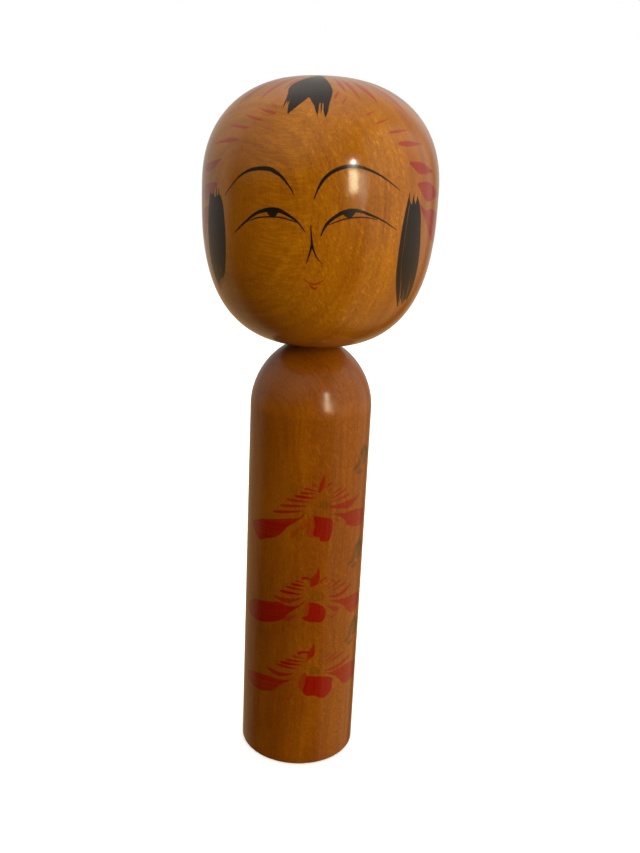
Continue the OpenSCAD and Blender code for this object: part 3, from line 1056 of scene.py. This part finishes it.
layer.line([
    (2.5, 35.3, 0.3), (-0.4, 35.5, 0.6), (-1.6, 34.1, 0.9), (-1.4, 31.7, 0.9), (-2.6, 29.3, 1),
    (-5.9, 27.4, 1), (-10.2, 26.8, 0.6),
], 0.24, soft=0.6, dry=0.3, seed=60)
layer.line([
    (-9.3, 32.3, 1), (-13.7, 31.8, 1.1), (-19, 30.2, 1.2), (-21.5, 28.4, 1.2), (-19, 26.9, 1.2),
    (-13.2, 26.7, 1.2), (-9, 28.4, 1.1), (-8.4, 30.8, 1),
], 0.14, soft=0.7, dry=0.3, seed=61)
paint("paint_flower_bottom", layer, BODY_RED)

# The pale green hearts of the flowers: angle, level, half width in degrees, height in mm.
layer = Layer(FRONT, 0.2)
for angle, level, wide, tall in ((20.9, 102.4, 5, 3), (18.8, 68.2, 6.6, 3.8), (18.8, 38.9, 6, 3.6)):
    ring = [(angle + wide * math.cos(t), level + tall / 2 * math.sin(t))
            for t in np.linspace(0, 2 * math.pi, 12, endpoint=False)]
    layer.fill(ring, 0.42, soft=0.9, seed=int(level))
paint("paint_flower_hearts", layer, GREEN)

# Faded green lobed leaves in the gaps between the flowers, at the viewer's right. Each dab of
# a leaf is its two ends, as angle and height off the leaf's place, and its width.
LEAF_PLACES = ((62, 117.4), (62.5, 82), (63, 51.4))
LEAF_DABS = (
    ((-12, -4), (-1, -2), 2.2), ((-4, -1), (5, 2), 3.4), ((2, -2.6), (13, -1), 3.8),
    ((-7, -5), (3, -5.4), 2), ((0, 1), (9, 3), 3), ((9, 2), (22, 0), 3.4),
)

layer = Layer(FRONT, 0.2)
for k, (angle, level) in enumerate(LEAF_PLACES):
    for j, ((a0, z0), (a1, z1), width) in enumerate(LEAF_DABS):
        layer.leaf((angle + a0, level + z0), (angle + a1, level + z1), width, bend=0.3, tip=0.6,
                   soft=0.8, dry=0.55, seed=130 + 10 * k + j)
paint("paint_leaves", layer, GREEN)

# ---- floor and light

STAGE_R = 6.0
STAGE_TOP = 5.0
STAGE_SIDES = 64
FLOOR_DROP = 0.0002
FLOOR_WHITE = (0.93, 0.93, 0.92, 1)
FLOOR_GLOW = 0.38
WALL_GLOW = 1.0
BLACK = (0, 0, 0, 1)
WHITE = (1, 1, 1, 1)
# The floor fades into the wall's white between these distances from the doll, in metres.
FADE_FROM = 0.25
FADE_TO = 1.6
AIM = Vector((0.0, 0.0, 0.17))
LIGHT_DISTANCE = 2.5


def glowing_material(name):
    """A black, matt material that gives off white light."""
    material, nodes, shader = new_material(name)
    nodes.feed(shader, {
        "Base Color": BLACK,
        "Specular IOR Level": 0,
        "Emission Color": WHITE,
        "Emission Strength": WALL_GLOW,
    })
    return material, nodes, shader


def stage_piece(name, verts, faces, material):
    """A part of the studio that only the camera sees: the lights alone light the doll."""
    mesh = bpy.data.meshes.new(name)
    mesh.from_pydata(verts, [], faces)
    mesh.materials.append(material)
    piece = add_object(name, mesh)
    piece.visible_diffuse = False
    piece.visible_glossy = False
    piece.visible_shadow = False


def make_stage():
    """A pale round floor with a white wall round it."""
    turns = [2 * math.pi * k / STAGE_SIDES for k in range(STAGE_SIDES)]
    circle = [(math.sin(a) * STAGE_R, math.cos(a) * STAGE_R) for a in turns]
    low = [(x, y, -FLOOR_DROP) for x, y in circle]
    high = [(x, y, STAGE_TOP) for x, y in circle]
    paper, nodes, shader = glowing_material("floor_paper")
    away = nodes.measure("LENGTH", nodes.add("TexCoord", output="Object"))
    far = nodes.remap(away, FADE_FROM, FADE_TO)
    glow = nodes.remap(away, FADE_FROM, FADE_TO, FLOOR_GLOW, WALL_GLOW)
    white = nodes.mix("MIX", far, FLOOR_WHITE, BLACK)
    nodes.feed(shader, {"Base Color": white, "Emission Strength": glow, "Roughness": 0.9})
    stage_piece("floor", low, [range(STAGE_SIDES)], paper)
    next_side = [(k + 1) % STAGE_SIDES for k in range(STAGE_SIDES)]
    walls = [(k, n, STAGE_SIDES + n, STAGE_SIDES + k) for k, n in enumerate(next_side)]
    stage_piece("wall", low + high, walls, glowing_material("wall_white")[0])


def toward(azimuth, elevation):
    """Unit vector; azimuth is degrees round from the face towards +X."""
    a = math.radians(azimuth)
    e = math.radians(elevation)
    return Vector((math.sin(a) * math.cos(e), -math.cos(a) * math.cos(e), math.sin(e)))


def area_light(name, azimuth, elevation, width, height, radiance, colour=(1, 1, 1), shiny=False):
    """A rectangular light that faces the middle of the doll; only a shiny one is reflected."""
    data = bpy.data.lights.new(name, "AREA")
    data.shape = "RECTANGLE"
    data.size = width
    data.size_y = height
    data.energy = radiance * math.pi * width * height
    data.color = colour
    light = add_object(name, data)
    light.location = AIM + toward(azimuth, elevation) * LIGHT_DISTANCE
    light.rotation_euler = (AIM - light.location).to_track_quat("-Z", "Y").to_euler()
    light.visible_glossy = shiny


# What the wax reflects: a direction, the cosines of the angles off it between which the
# brightness comes in, and how bright it is.
WALL = (toward(-152, 4), 0.34, 0.64, 0.52)
ROOM = (toward(80, -10), 0.4, 0.62, 0.78)
ROOM_EDGE = (toward(139, 0), 0, 0.08, 1)
OVERHEAD = (toward(-70, 62), 0.35, 0.95, 0.65)
SKY = (toward(150, 52), 0.6, 0.9, 0.45)
FLOOR = (toward(0, -90), 0.35, 0.75, 0.04)
DIM = 0.008
LOW_COLOUR = (1, 0.62, 0.3, 1)
HIGH_COLOUR = (1, 0.94, 0.86, 1)


def make_world():
    """A dark room with a grey wall behind at the left, a lit part at the right, and soft light
    from above, from high behind and a little from the floor."""
    world = bpy.data.worlds.new("studio")
    scene.world = world
    world.use_nodes = True
    nodes = Nodes(world.node_tree)
    direction = nodes.add("TexCoord", output="Generated")

    def lit(side, start, end, bright):
        return nodes.remap(nodes.measure("DOT_PRODUCT", direction, side), start, end, 0, bright)

    height = nodes.measure("DOT_PRODUCT", direction, (0, 0, 1))
    wall = nodes.product(
        lit(*WALL),
        nodes.remap(height, -1, -0.4, 0.8, 1),
        nodes.remap(height, 0.15, 0.6, 1, 0.5),
    )
    room = nodes.math("MAXIMUM", nodes.product(lit(*ROOM), lit(*ROOM_EDGE)), DIM)
    around = nodes.math("MAXIMUM", wall, room)
    above = nodes.math("ADD", lit(*OVERHEAD), lit(*SKY))
    level = nodes.math("ADD", around, nodes.math("ADD", above, lit(*FLOOR)))
    colour = nodes.mix("MIX", nodes.remap(height, -0.4, 0), LOW_COLOUR, HIGH_COLOUR)
    nodes.feed(world.node_tree.nodes["Background"], {"Color": colour, "Strength": level})


scene.view_settings.view_transform = "Standard"
make_stage()
make_world()
area_light("lamp", 35.2, 22.8, 0.05, 0.05, 1100, (1, 0.93, 0.8), shiny=True)
area_light("window", 34.8, 8.5, 0.3, 0.74, 30, (1, 0.88, 0.55), shiny=True)
area_light("window_side", 44, 5, 0.34, 0.8, 5, (1, 0.9, 0.7), shiny=True)
area_light("key_fill", 66, 22, 1.5, 1.5, 1.25, (1, 0.98, 0.95))
area_light("front_fill", -5, 42, 2, 2, 1.15)
area_light("bounce", 10, -50, 2, 2, 0.12, (1, 0.85, 0.7))
area_light("back_fill", 180, 35, 2, 2, 1.4)
area_light("ceiling", 0, 89, 2, 2, 0.9)
